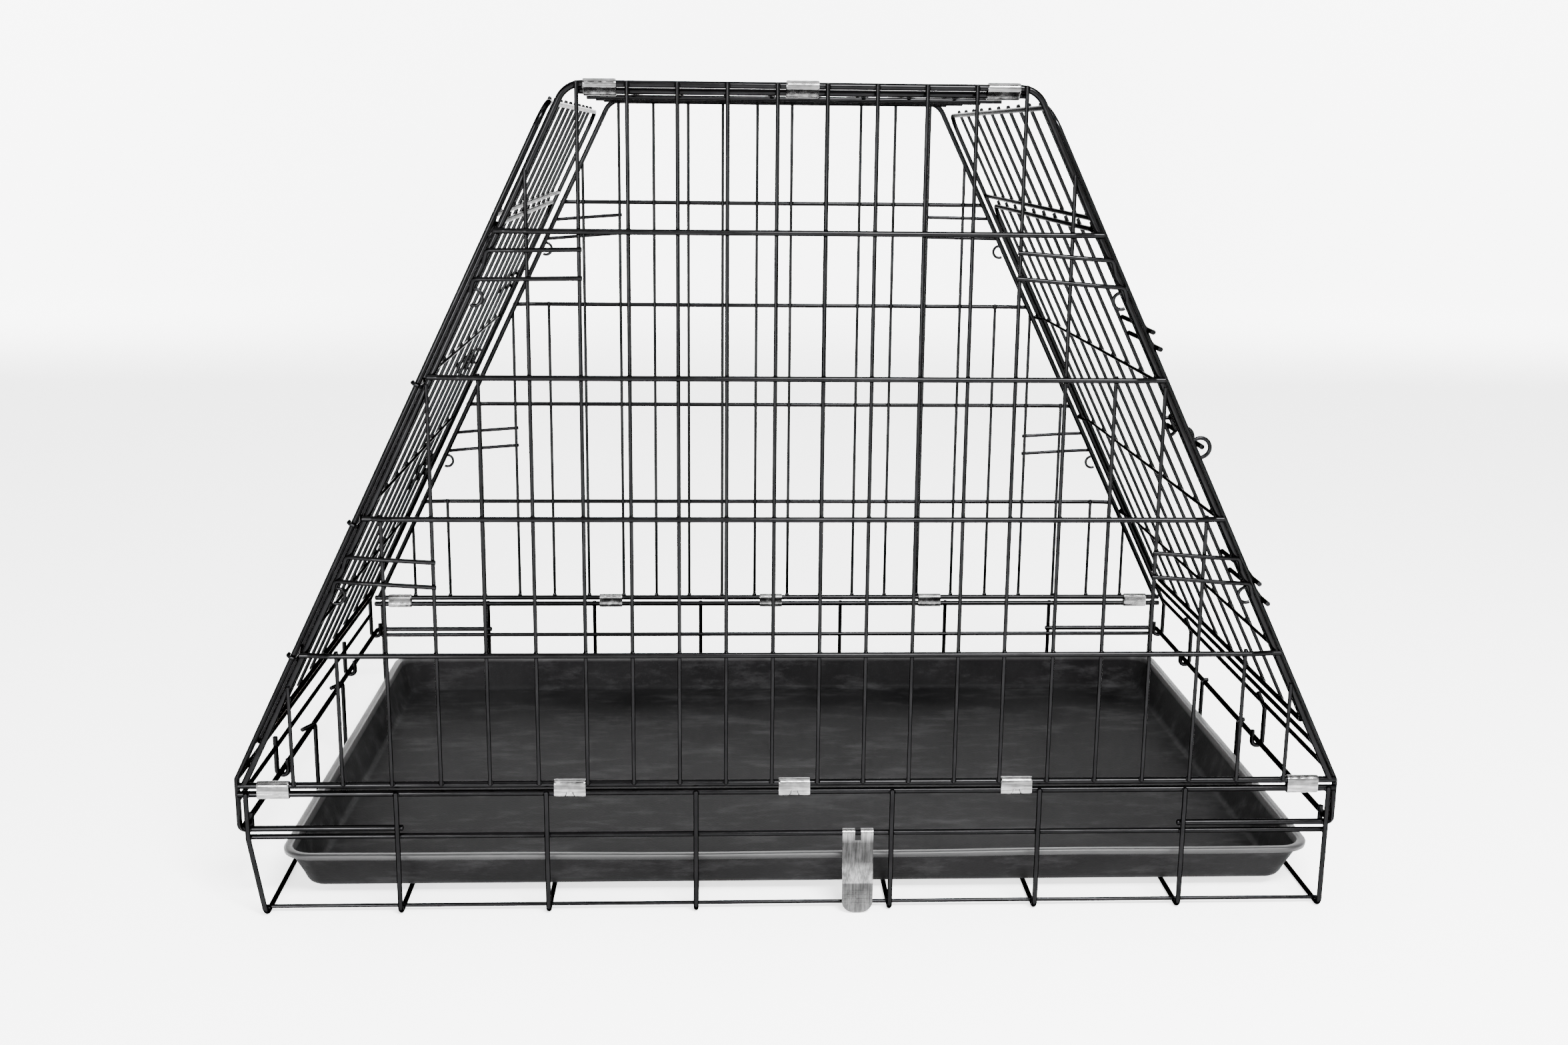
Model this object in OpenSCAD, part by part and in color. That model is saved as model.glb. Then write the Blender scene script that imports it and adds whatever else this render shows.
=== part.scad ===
// Folding wire dog crate with sloping ends
// Two trapezoid long panels, a narrow roof, two sloping end panels with doors,
// a wire basket base and a drop-in tray. Units are millimetres, +Z is up.
// The origin is on the floor, in the middle of the base.

/* [Overall size] */
// distance between the pivot lines of the two long panels
crate_depth = 580; // [520:1:640]
// half of the long panel's width at its bottom rim
rim_half = 454.2; // [430:0.1:470]
// height of the long panel, from rim to rim
panel_h = 563.5; // [555:0.5:575]
// how far the ends lean in for each mm of height
lean = 0.487; // [0.45:0.001:0.5]
// height of the long panels' bottom rims above the floor
rim_z = 115; // [110:1:125]

/* [Wires] */
// long panel frame wire
frame_d = 5.2; // [4.5:0.1:5.4]
// long panel bottom rim and base rim wire
rim_d = 5.4; // [4.8:0.1:5.6]
// upright wires
upright_d = 3.2; // [2.6:0.1:3.4]
// cross wires of the long panels
cross_d = 4.4; // [3.8:0.1:4.6]
// hook wires beside the long panels' edges
hook_d = 3.6; // [3:0.1:3.8]
// end panel and door frame wire
end_d = 4.4; // [4:0.1:4.5]
// base posts and floor wires
post_d = 4.2; // [3.6:0.1:4.4]

/* [Long panels] */
// spacing of the full-height upright wires
upright_pitch = 38.1; // [36:0.1:40]
// spacing of the shorter upright wires beside them
short_pitch = 40.2; // [39:0.1:41]
// spacing of the cross wires; the top row takes what is left
row_h = 113.3; // [110:0.1:114]
// radius of the top corners
corner_r = 20; // [16:1:20]
// radius of the spring rings beside the hooks
ring_r = 6.5; // [5.5:0.5:9]

/* [End panels] */
// gap from the long panels' edge line out to the right end panel
right_gap = 6.1; // [6:0.1:8]
// the same gap on the left, where the front panel folds past the door's hinge curls
left_gap = 9.1; // [9:0.1:9.3]
// half of the end panel's width, between its edge wires
end_half = 279; // [278:0.5:279]
// height of the lowest wire above the long panels' rims, right end
right_low = 0.5; // [-2:0.5:4]
// the same on the left end, which hangs lower
left_low = -17; // [-17:0.5:4]
// radius of the door's corners
door_r = 16; // [12:1:20]
// thickness of the slide bolts
bolt_d = 4.2; // [3.6:0.1:4.2]

/* [Base] */
// side rail, half distance
rail_x = 457.6; // [457:0.1:459]
// side rail height
rail_z = 77; // [75:1:79]
// long mid rail height
mid_z = 70; // [67:0.5:70]
// gap between base rim and panel rim, centre to centre
rim_gap = 7.4; // [7.2:0.1:8]

/* [Tray] */
// half length of the tray over its lip
tray_x = 441; // [430:1:441]
// half depth of the tray over its lip
tray_y = 282; // [275:1:284]
// depth of the tray
tray_h = 41; // [30:1:45]
// how far the end walls lean in at the floor
end_draft = 12; // [8:1:18]
// how far the front wall leans in at the floor
front_draft = 24; // [5:1:26]
// how far the rear wall leans in at the floor
rear_draft = 8; // [3:1:26]
// sheet thickness
tray_t = 2; // [1.6:0.1:2.5]

/* [Clips] */
// length of each sleeve clip
clip_l = 26; // [22:1:26]
// sheet thickness of the clips
clip_t = 1; // [0.8:0.1:1.1]
// running clearance round the wires
clip_gap = 0.35; // [0.2:0.05:0.5]

/* [Display] */
// which sub-part to draw

/* [Hidden] */
$fn = 40;
wire_colour = [0.045, 0.045, 0.048];
tray_colour = [0.07, 0.07, 0.072];
steel_colour = [0.66, 0.67, 0.68];

half_depth = crate_depth / 2;
rows = 5;
end_uprights = 10;
sink = 0.5;                                   // how far welded wires sink into each other
swell = 0.08;                                 // how much fuller a wire is in its bends
run_in = 0.25;                                // how far straights run into the bends
upright_y = (frame_d + upright_d) / 2 - sink; // uprights in front of the frame
cross_y = upright_y + (upright_d + cross_d) / 2 - sink;
hook_y = upright_y + (upright_d + hook_d) / 2 - sink;
end_angle = atan(lean);
base_rim_z = rim_z - rim_gap;

// base
post_xs = [82, 206, 329.6, 452];
post_y = half_depth + (rim_d + post_d) / 2 - 0.6;
floor_z = post_d / 2;
grid_z = floor_z + post_d - 0.3;
rail_d = 5;
mid_d = 4.4;
end_post_ys = [-45, 80];
mid_y = half_depth + 0.3;
floor_rail_d = 3.2;                           // thinner rails that tie the floor wires' ends
floor_rail_z = floor_z + (post_d + floor_rail_d) / 2 - 0.3;
rail_y = half_depth - 4;                      // floor rails under the fences
corner_pull = 11;                             // how far the front left corner post is bent in at its foot
end_post_x = rail_x - (rail_d + post_d) / 2 + 0.4;

// end panel, measured along its slope
function slope(z) = z / cos(end_angle);
top_u = slope(550);
header_u = slope(4.1 * row_h);
door_top_u = header_u - 10.6;
sill_rise = 19;                               // lowest wire to sill
door_rise = 35;                               // lowest wire to the door's bottom wire
end_wire_d = 3.2;
end_wire_w = (end_d + end_wire_d) / 2 - sink;
end_pitch = (2 * end_half + 2) / (end_uprights + 1);
door_hinge_v = 246;
door_latch_v = -252;
door_bar_d = 4;
curl_d = 2.8;
curl_r = end_d / 2 + 0.3 + curl_d / 2;
hook_r = rail_d / 2 + 0.35 + end_d / 2;
leg_x = rail_x + hook_r;                      // how far out the legs hang
arch_u = slope(2.48 * row_h);
arch_w = 12.2;
arch_r = 8;
arch_d = 3.2;
bolt_u = arch_u - 2.2;
bolt_w = end_wire_w + (end_wire_d + bolt_d) / 2 + 0.3;

// top panel
top_edge_d = 5;
top_half_x = 169.5;
top_edge_y = half_depth - 5.9;
top_drop = 5;                                 // the front edge wire hangs this far below the rim
top_z = rim_z + panel_h;

clip_xs = [-430, -186.5, 0, 186.5, 430];
top_clip_xs = [-154.2, 0, 154.2];
top_clip_l = 25;

// ---------------------------------------------------------------- helpers
function unit(v) = v / norm(v);
function turn(a, b) = acos(min(1, max(-1, unit(a) * unit(b))));
function setback(p, i, r) =
    (i == 0 || i == len(p) - 1) ? 0 : r * tan(turn(p[i] - p[i - 1], p[i + 1] - p[i]) / 2);

// straight round bar from a to b
module rod(a, b, d) {
    v = b - a;
    translate(a)
        rotate([0, acos(v.z / norm(v)), atan2(v.y, v.x)])
            cylinder(h = norm(v), d = d);
}

// bend round centre c about axis n, starting along dir
module bend(c, dir, n, r, angle, d) {
    e = -cross(n, dir);
    multmatrix([
        [e.x, dir.x, n.x, c.x],
        [e.y, dir.y, n.y, c.y],
        [e.z, dir.z, n.z, c.z],
        [0, 0, 0, 1]
    ])
        rotate_extrude(angle = angle)
            translate([r, 0])
                circle(d = d);
}

// round wire through the points p, with every corner bent to radius r
module wire(p, d, r) {
    last = len(p) - 1;
    for (i = [0 : last - 1]) {
        dir = unit(p[i + 1] - p[i]);
        a = i == 0 ? 0 : setback(p, i, r) - run_in;
        b = i + 1 == last ? 0 : setback(p, i + 1, r) - run_in;
        rod(p[i] + dir * a, p[i + 1] - dir * b, d);
    }
    if (last > 1) {
        for (i = [1 : last - 1]) {
            dir = unit(p[i] - p[i - 1]);
            side = cross(dir, p[i + 1] - p[i]);
            if (norm(side) > 0.001) {
                n = unit(side);
                t = setback(p, i, r);
                bend(p[i] - dir * t + r * cross(n, dir), dir, n, r, turn(dir, p[i + 1] - p[i]), d + swell);
            }
        }
    }
}

// ---------------------------------------------------------------- long panels
// drawn flat: X along the panel, Y up it, Z outwards, origin on the bottom rim's axis
function edge_x(y) = rim_half - lean * y;
function edge_y(x) = (rim_half - x) / lean;

// the top of the nth short upright: some end on the frame, some on a cross wire
function short_top(n) =
    n == 2 ? 3 * row_h + 3 :
    n == 4 ? 2 * row_h + 3 :
    n == 5 ? row_h + 3 :
    edge_y(upright_pitch * 4.5 + n * short_pitch) + 1;

module panel_frame() {
    top = edge_x(panel_h);
    wire([[rim_half, 0, 0], [top, panel_h, 0], [-top, panel_h, 0], [-rim_half, 0, 0]], frame_d, corner_r);
    rod([-rim_half - 4, 0, 0], [rim_half + 4, 0, 0], rim_d);
}

// the uprights stop 1 mm above the rim's axis, so that they pass the base rim as the panel folds
module panel_uprights() {
    for (i = [-4.5 : 1 : 4.5]) {
        rod([i * upright_pitch, 1, upright_y], [i * upright_pitch, panel_h + 1.5, upright_y], upright_d);
    }
    for (s = [-1, 1]) {
        for (n = [1 : 6]) {
            x = s * (4.5 * upright_pitch + n * short_pitch);
            rod([x, 1, upright_y], [x, short_top(n), upright_y], upright_d);
        }
    }
}

// cross wires run outside the uprights and dip at their ends to meet the frame
module panel_cross_wires() {
    dip = (frame_d + cross_d) / 2 - sink;
    for (k = [1 : rows - 1]) {
        y = k * row_h;
        x = edge_x(y);
        wire([
            [-x - 2.2, y, dip], [-x + 5, y, dip], [-x + 22, y, cross_y],
            [x - 22, y, cross_y], [x - 5, y, dip], [x + 2.2, y, dip]
        ], cross_d, 14);
    }
}

// one hook wire: from an upright past the sloping edge, its end bent down
module panel_hook(s, x0, y0, tilt) {
    dip = (frame_d + hook_d) / 2 - sink;
    run = (edge_x(y0) - x0) / (1 - lean * tan(tilt));
    y1 = y0 - run * tan(tilt);
    x1 = edge_x(y1);
    wire([
        [s * (x0 - 2.5), y0, hook_y],
        [s * (x1 - 20), y1 + 20 * tan(tilt), hook_y],
        [s * (x1 + 1.4), y1, dip],
        [s * (x1 + 4.6), y1 - 10, dip - 1.5]
    ], hook_d, 4);
}

// open spring ring beside the edge, bulging towards the middle of the panel
module panel_ring(s, y) {
    translate([s * (edge_x(y) - 5), y, 0])
        rotate([0, 0, s > 0 ? 62 : -118])
            rotate_extrude(angle = 236)
                translate([ring_r, 0])
                    circle(d = 2.8);
}

module long_panel() {
    panel_frame();
    panel_uprights();
    panel_cross_wires();
    inner_x = 4.5 * upright_pitch;
    outer_x = inner_x + 3 * short_pitch;
    panel_hook(1, inner_x, 439.5, 4.6);
    panel_hook(1, inner_x, 419.5, 4.8);
    panel_hook(1, outer_x, 199, 4.6);
    panel_hook(1, outer_x, 179, 4.8);
    panel_hook(-1, inner_x, 439.5, 1);
    panel_hook(-1, inner_x, 417.5, 1);
    panel_hook(-1, outer_x, 191, -3.6);
    panel_hook(-1, outer_x, 170.5, -3.6);
    for (s = [-1, 1]) {
        panel_ring(s, 402);
        panel_ring(s, 162);
    }
}

module front_panel() {
    color(wire_colour)
        translate([0, -half_depth, rim_z])
            rotate([90, 0, 0])
                long_panel();
}

module rear_panel() {
    color(wire_colour)
        rotate([0, 0, 180])
            translate([0, -half_depth, rim_z])
                rotate([90, 0, 0])
                    long_panel();
}

// ---------------------------------------------------------------- top panel
module top_panel() {
    y = top_edge_y;
    pitch = 2 * y / 5;
    edge_x = top_half_x + 2.3;
    bar_x = top_half_x + 3;
    color(wire_colour)
        translate([0, 0, top_z]) {
            rod([-edge_x, -y, -top_drop], [edge_x, -y, -top_drop], top_edge_d);
            rod([-edge_x, y, 0], [edge_x, y, 0], top_edge_d);
            for (x = [-top_half_x, top_half_x]) {
                rod([x, -y, -top_drop], [x, y, 0], top_edge_d - 0.4);
            }
            for (i = [-3.5 : 1 : 3.5]) {
                x = i * upright_pitch;
                rod([x, -y, -top_drop], [x, y, 0], upright_d);
            }
            for (i = [1 : 4]) {
                z = top_drop * (i / 5 - 1) - 3.1;
                rod([-bar_x, i * pitch - y, z], [bar_x, i * pitch - y, z], 4);
            }
        }
}

// ---------------------------------------------------------------- end panels
// drawn flat: X across the panel, Y up its slope, Z outwards
module on_slope(gap) {
    translate([rim_half + gap, 0, rim_z])
        rotate([0, -end_angle, 0])
            rotate([90, 0, 90])
                children();
}

module at_left() {
    rotate([0, 0, 180])
        children();
}

// how far out the end panel is at height z above the rims; its legs hang straight down
function end_x(gap, z) = min(rim_half + gap - lean * z, leg_x);

// leg below the panel that hooks round the side rail; v is its place along the rail
module rail_leg(gap, v, top, d) {
    knee = (rim_half + gap - leg_x) / lean;
    start = top > knee ?
        [[end_x(gap, top), v, rim_z + top], [leg_x, v, rim_z + knee]] :
        [[leg_x, v, rim_z + top]];
    wire(concat(start, [
        [leg_x, v, rail_z - hook_r],
        [rail_x - hook_r, v, rail_z - hook_r],
        [rail_x - hook_r, v, rail_z + 10]
    ]), d, hook_r - 0.5);
}

module cross_bar(gap, z) {
    x = end_x(gap, z);
    rod([x, -end_half, rim_z + z], [x, end_half, rim_z + z], end_d - 0.4);
}

module bolt_arch(v, from_w) {
    wire([
        [v, arch_u - arch_r, from_w], [v, arch_u - arch_r, arch_w],
        [v, arch_u + arch_r, arch_w], [v, arch_u + arch_r, from_w]
    ], arch_d, arch_r - 0.2);
}

// the outline with its door opening and its legs; leg_vs places the middle legs
module end_panel(gap, low, leg_vs) {
    on_slope(gap) {
        wire([
            [-end_half, slope(12), 0], [-end_half, top_u, 0],
            [end_half, top_u, 0], [end_half, slope(12), 0]
        ], end_d, 20);
        rod([-end_half, header_u, 0], [end_half, header_u, 0], end_d - 0.4);
        for (i = [0 : end_uprights - 1]) {
            v = (i - (end_uprights - 1) / 2) * end_pitch;
            rod([v, header_u - 4.6, end_wire_w], [v, top_u + 3, end_wire_w], end_wire_d);
        }
        bolt_arch(-end_half, 0);
    }
    cross_bar(gap, low);
    cross_bar(gap, low + sill_rise);
    for (v = [-end_half, end_half]) {
        rail_leg(gap, v, 13, end_d);
    }
    for (v = leg_vs) {
        rail_leg(gap, v, low + 10, end_d);
    }
}

module end_panel_right() {
    color(wire_colour)
        end_panel(right_gap, right_low, [-92, 163]);
}

module end_panel_left() {
    color(wire_colour)
        at_left()
            end_panel(left_gap, left_low, [-137, 155]);
}

// door bar that runs to the hinge edge and curls round the panel's edge wire
module hinge_bar(u) {
    wire([
        [door_latch_v, u, 0], [door_hinge_v, u, 0], [end_half - 14, u, -curl_r],
        [end_half + curl_r, u, -curl_r], [end_half + curl_r, u, curl_r], [end_half - 3, u, curl_r]
    ], curl_d, curl_r - 0.5);
}

// short wire that stops the door against the panel's latch edge
module door_stop(u) {
    over = end_wire_w + (end_wire_d + door_bar_d) / 2 - 0.4;
    rest = end_d / 2 + door_bar_d / 2 + 0.3;
    wire([[-174, u, over], [-246, u, over], [-264, u, rest], [-285.2, u, rest]], door_bar_d, 10);
}

module door(gap, low) {
    door_low_u = slope(low + door_rise);
    on_slope(gap) {
        wire([
            [0, door_low_u, 0], [door_latch_v, door_low_u, 0], [door_latch_v, door_top_u, 0],
            [door_hinge_v, door_top_u, 0], [door_hinge_v, door_low_u, 0], [0, door_low_u, 0]
        ], end_d, door_r);
        for (i = [0 : end_uprights - 1]) {
            v = (i - (end_uprights - 1) / 2) * end_pitch;
            rod([v, door_low_u - 4.6, end_wire_w], [v, door_top_u + 4.4, end_wire_w], end_wire_d);
        }
        for (k = [0.95, 1.93, 2.93]) {
            hinge_bar(slope(k * row_h));
        }
        for (k = [1.33, 1.48, 3.19, 3.31]) {
            door_stop(slope(k * row_h));
        }
        bolt_arch(-4.5 * end_pitch, end_wire_w);
        bolt_arch(-3.5 * end_pitch, end_wire_w);
    }
}

module door_right() {
    color(wire_colour)
        door(right_gap, right_low);
}

module door_left() {
    color(wire_colour)
        at_left()
            door(left_gap, left_low);
}

// sliding bolt with a finger loop that lies along the door
module bolt(gap) {
    loop_u = bolt_u + 15;
    on_slope(gap)
        wire([
            [-272, bolt_u, bolt_w], [-210, bolt_u, bolt_w], [-210, loop_u, bolt_w],
            [-194, loop_u, bolt_w], [-194, bolt_u, bolt_w], [-164, bolt_u, bolt_w]
        ], bolt_d, 4);
}

module bolt_right() {
    color(wire_colour)
        bolt(right_gap);
}

module bolt_left() {
    color(wire_colour)
        at_left()
            bolt(left_gap);
}

// ---------------------------------------------------------------- base
// one long side of the basket; its left corner post is pulled in towards the floor
module fence(pull) {
    rod([-459, -half_depth, base_rim_z], [459, -half_depth, base_rim_z], rim_d);
    rod([-454, -mid_y, mid_z], [454, -mid_y, mid_z], mid_d);
    for (s = [-1, 1]) {
        for (x = post_xs) {
            foot_x = s * x + (s * x < -400 ? pull : 0);
            wire([
                [s * x, -post_y, base_rim_z + 1.5], [s * x, -post_y, mid_z],
                [foot_x, -post_y, floor_z], [foot_x, -post_y + 8, floor_z]
            ], post_d, 7);
        }
    }
}

module base_front_fence() {
    color(wire_colour)
        fence(corner_pull);
}

module base_rear_fence() {
    color(wire_colour)
        rotate([0, 0, 180])
            fence(0);
}

module base_floor_grid() {
    y = post_y - 8;
    color(wire_colour) {
        for (s = [-1, 1]) {
            for (x = post_xs) {
                front_x = s * x + (s * x < -400 ? corner_pull : 0);
                rod([front_x, -y, floor_z], [s * x, y, floor_z], post_d);
            }
            left_x = 454 - (s < 0 ? corner_pull : 0);
            rod([-left_x, s * rail_y, floor_rail_z], [454, s * rail_y, floor_rail_z], floor_rail_d);
        }
        for (v = end_post_ys) {
            rod([-446, v, grid_z], [446, v, grid_z], post_d);
        }
    }
}

// rail that wraps the end of the base, with the floor wires' ends bent over it;
// tip is how far each wire's end reaches, outwards and along the rail
module base_end(post_vs, tip) {
    y = half_depth;
    wire([
        [326, -y, rail_z], [rail_x, -y, rail_z], [rail_x, y, rail_z], [326, y, rail_z]
    ], rail_d, 5.5);
    over = rail_x - end_post_x;
    for (v = post_vs) {
        wire([
            [446, v, grid_z], [end_post_x, v, grid_z], [end_post_x, v, rail_z + over],
            [rail_x + tip.x, v + tip.y, rail_z + over]
        ], post_d, over - 0.5);
    }
}

module base_end_right() {
    color(wire_colour)
        base_end(end_post_ys, [2, 0]);
}

module base_end_left() {
    color(wire_colour)
        at_left()
            base_end(-end_post_ys, [4, 18]);
}

// ---------------------------------------------------------------- tray
tray_z = grid_z + post_d / 2 + 0.3;
tray_shift = 8;

// solid block with drafted, rounded walls: half sizes at floor and rim, floor moved by dy
module tub(x0, y0, x1, y1, z0, z1, r0, r1, dy) {
    hull() {
        for (sx = [-1, 1]) {
            for (sy = [-1, 1]) {
                translate([sx * (x0 - r0), sy * (y0 - r0) + dy, z0])
                    cylinder(r = r0, h = 0.1, $fn = 32);
                translate([sx * (x1 - r1), sy * (y1 - r1), z1 - 0.1])
                    cylinder(r = r1, h = 0.1, $fn = 32);
            }
        }
    }
}

module slab(x, y, z0, z1, r) {
    translate([0, 0, z0])
        linear_extrude(height = z1 - z0)
            union() {
                square([2 * x, 2 * (y - r)], center = true);
                square([2 * (x - r), 2 * y], center = true);
                for (sx = [-1, 1]) {
                    for (sy = [-1, 1]) {
                        translate([sx * (x - r), sy * (y - r)])
                            circle(r = r);
                    }
                }
            }
}

module tray() {
    lip = 5;
    xi = tray_x - lip;
    yi = tray_y - lip;
    floor_x = xi - end_draft;
    floor_y = yi - (front_draft + rear_draft) / 2;
    dy = (front_draft - rear_draft) / 2;
    color(tray_colour)
        translate([tray_shift, 0, tray_z])
            difference() {
                union() {
                    tub(floor_x, floor_y, xi, yi, 0, tray_h, 14, 22, dy);
                    slab(tray_x, tray_y, tray_h - 5, tray_h, 26);
                }
                tub(floor_x - tray_t, floor_y - tray_t, xi - tray_t, yi - tray_t,
                    tray_t, tray_h + 0.1, 13, 21, dy);
            }
}

// sheet steel leaf that hangs from the mid rail on two curled tabs
module tray_clip() {
    x0 = 41;
    x1 = 67;
    tab_w = 10.5;
    t = 1;
    r = mid_d / 2 + 0.3;
    y = r + t / 2;
    color(steel_colour)
        translate([0, -mid_y, mid_z]) {
            for (x = [x0, x1 - tab_w]) {
                translate([x, 0, 0])
                    curl(r, t, tab_w, 235);
            }
            translate([x0, -y, 0])
                leaf(x1 - x0, t, tab_w);
        }
}

// sheet curled about the X axis, from the front over the top
module curl(r, t, length, angle) {
    rotate([0, 90, 0])
        rotate([0, 0, -90])
            mirror([0, 1, 0])
                rotate_extrude(angle = angle)
                    translate([r, 0])
                        square([t, length]);
}

// leaf in its own frame: X across, hanging down from the rail's front
module leaf(w, t, tab_w) {
    kink = 18;
    knee_z = -29;
    translate([0, -t / 2, knee_z])
        cube([w, t, -6 - knee_z]);
    for (x = [0, w - tab_w]) {
        translate([x, -t / 2, -6.4])
            cube([tab_w, t, 6.4]);
    }
    translate([0, 0, knee_z])
        rotate([-kink, 0, 0])
            translate([0, -t / 2, -15.2])
                cube([w, t, 15.4]);
    tip_y = -15 * sin(kink);
    tip_z = knee_z - 15 * cos(kink);
    translate([0, tip_y - t / 2, tip_z - 13])
        cube([w, t, 13.4]);
    translate([w / 2, tip_y, tip_z - 13])
        rotate([90, 0, 0])
            translate([0, 0, -t / 2])
                cylinder(r = w / 2, h = t);
    for (i = [0 : 3]) {
        translate([3, tip_y - t / 2, tip_z - 4 - i * 4.2])
            rotate([0, 90, 0])
                cylinder(r = 0.45, h = w - 6);
    }
}

// ---------------------------------------------------------------- clips
// oblong sleeve round two wires: along X, wires gap apart in Z
module sleeve(gap, r, length) {
    ro = r + clip_t;
    rotate([90, 0, 90])
        translate([0, 0, -length / 2])
            difference() {
                oblong(gap, ro, length);
                translate([0, 0, -1])
                    oblong(gap, r, length + 2);
            }
}

// bar with round ends, its two ends' axes gap apart along Y
module oblong(gap, r, length) {
    linear_extrude(height = length)
        union() {
            square([2 * r, gap], center = true);
            for (s = [-1, 1]) {
                translate([0, s * gap / 2])
                    circle(r = r);
            }
        }
}

// bottom clip, with a notch in the seam at its lower front
module rim_clip(x) {
    r = rim_d / 2 + clip_gap;
    difference() {
        translate([x, -half_depth, rim_z - rim_gap / 2])
            sleeve(rim_gap, r, clip_l);
        translate([x - 2.2, -half_depth - r - clip_t - 0.3, base_rim_z - 1.5])
            rotate([0, 12, 0])
                cube([0.5, 1.8, 5]);
        translate([x + 1.7, -half_depth - r - clip_t - 0.3, base_rim_z - 1.5])
            rotate([0, -12, 0])
                cube([0.5, 1.8, 5]);
    }
}

// top clip, holding the rim and an edge wire that lies in and down from it
module top_clip(x, drop) {
    in = half_depth - top_edge_y;
    translate([x, -half_depth + in / 2, top_z - drop / 2])
        rotate([atan2(in, drop), 0, 0])
            sleeve(norm([in, drop]), frame_d / 2 + clip_gap, top_clip_l);
}

module clip_front(i) {
    color(steel_colour)
        rim_clip(clip_xs[i]);
}

module clip_rear(i) {
    color(steel_colour)
        rotate([0, 0, 180])
            rim_clip(-clip_xs[i]);
}

module clip_top_front(i) {
    color(steel_colour)
        top_clip(top_clip_xs[i], top_drop);
}

module clip_top_rear(i) {
    color(steel_colour)
        rotate([0, 0, 180])
            top_clip(-top_clip_xs[i], 0);
}

// ---------------------------------------------------------------- drawing
base_floor_grid();
base_front_fence();
base_rear_fence();
base_end_left();
base_end_right();
tray();
tray_clip();
front_panel();
rear_panel();
top_panel();
end_panel_left();
end_panel_right();
door_left();
door_right();
bolt_left();
bolt_right();
clip_front(0);  // clip_front_1
clip_front(1);  // clip_front_2
clip_front(2);  // clip_front_3
clip_front(3);  // clip_front_4
clip_front(4);  // clip_front_5
clip_rear(0);  // clip_rear_1
clip_rear(1);  // clip_rear_2
clip_rear(2);  // clip_rear_3
clip_rear(3);  // clip_rear_4
clip_rear(4);  // clip_rear_5
clip_top_front(0);  // clip_top_front_1
clip_top_front(1);  // clip_top_front_2
clip_top_front(2);  // clip_top_front_3
clip_top_rear(0);  // clip_top_rear_1
clip_top_rear(1);  // clip_top_rear_2
clip_top_rear(2);  // clip_top_rear_3
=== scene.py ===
"""Folding wire dog crate: materials, weld beads, wire tips, sleeves, leaf, tray and studio."""
import math
import bmesh
import bpy
from mathutils import Matrix, Vector


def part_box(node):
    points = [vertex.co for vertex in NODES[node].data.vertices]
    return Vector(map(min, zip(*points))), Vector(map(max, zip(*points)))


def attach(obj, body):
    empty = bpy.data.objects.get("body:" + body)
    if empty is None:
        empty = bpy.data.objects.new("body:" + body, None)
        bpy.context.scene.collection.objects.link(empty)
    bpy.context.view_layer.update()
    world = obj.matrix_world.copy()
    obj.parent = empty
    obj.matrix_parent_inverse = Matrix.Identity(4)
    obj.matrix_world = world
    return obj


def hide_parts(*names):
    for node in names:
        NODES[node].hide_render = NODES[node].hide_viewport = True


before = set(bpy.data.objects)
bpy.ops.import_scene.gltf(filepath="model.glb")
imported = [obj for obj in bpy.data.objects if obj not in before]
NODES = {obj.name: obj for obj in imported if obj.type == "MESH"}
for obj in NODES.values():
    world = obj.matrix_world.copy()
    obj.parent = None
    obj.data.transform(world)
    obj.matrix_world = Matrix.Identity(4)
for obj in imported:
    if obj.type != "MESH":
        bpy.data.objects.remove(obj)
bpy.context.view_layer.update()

MM = 0.001

# ------------------------------------------------------------------ materials


def new_material(name):
    m = bpy.data.materials.new(name)
    m.use_nodes = True
    nt = m.node_tree
    return m, nt, nt.nodes["Principled BSDF"]


def link(nt, a, b):
    nt.links.new(a, b)


def noise(nt, scale, detail, rough, coords):
    n = nt.nodes.new("ShaderNodeTexNoise")
    n.inputs["Scale"].default_value = scale
    n.inputs["Detail"].default_value = detail
    n.inputs["Roughness"].default_value = rough
    link(nt, coords, n.inputs["Vector"])
    return n


def ramp(nt, source, stops):
    """Colours along a value; stops are (place, colour) in rising order."""
    r = nt.nodes.new("ShaderNodeValToRGB")
    while len(r.color_ramp.elements) < len(stops):
        r.color_ramp.elements.new(0.5)
    for e, (at, value) in zip(r.color_ramp.elements, stops):
        e.position = at
        e.color = value if len(value) == 4 else (*value, 1.0)
    link(nt, source, r.inputs["Fac"])
    return r


def grey(v):
    return (v, v, v, 1.0)


def bump(nt, shader, height, strength, distance):
    """Fine relief on a shader; distance in metres."""
    b = nt.nodes.new("ShaderNodeBump")
    b.inputs["Strength"].default_value = strength
    b.inputs["Distance"].default_value = distance
    link(nt, height, b.inputs["Height"])
    link(nt, b.outputs["Normal"], shader.inputs["Normal"])


def multiply(nt, fac, one, two):
    mix = nt.nodes.new("ShaderNodeMixRGB")
    mix.blend_type = "MULTIPLY"
    mix.inputs["Fac"].default_value = fac
    link(nt, one, mix.inputs["Color1"])
    link(nt, two, mix.inputs["Color2"])
    return mix.outputs["Color"]


def stretched(nt, coords, scale):
    """Coordinates scaled along each axis, so that a pattern made from them is drawn out."""
    m = nt.nodes.new("ShaderNodeMapping")
    m.inputs["Scale"].default_value = scale
    link(nt, coords, m.inputs["Vector"])
    return m.outputs["Vector"]


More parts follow.
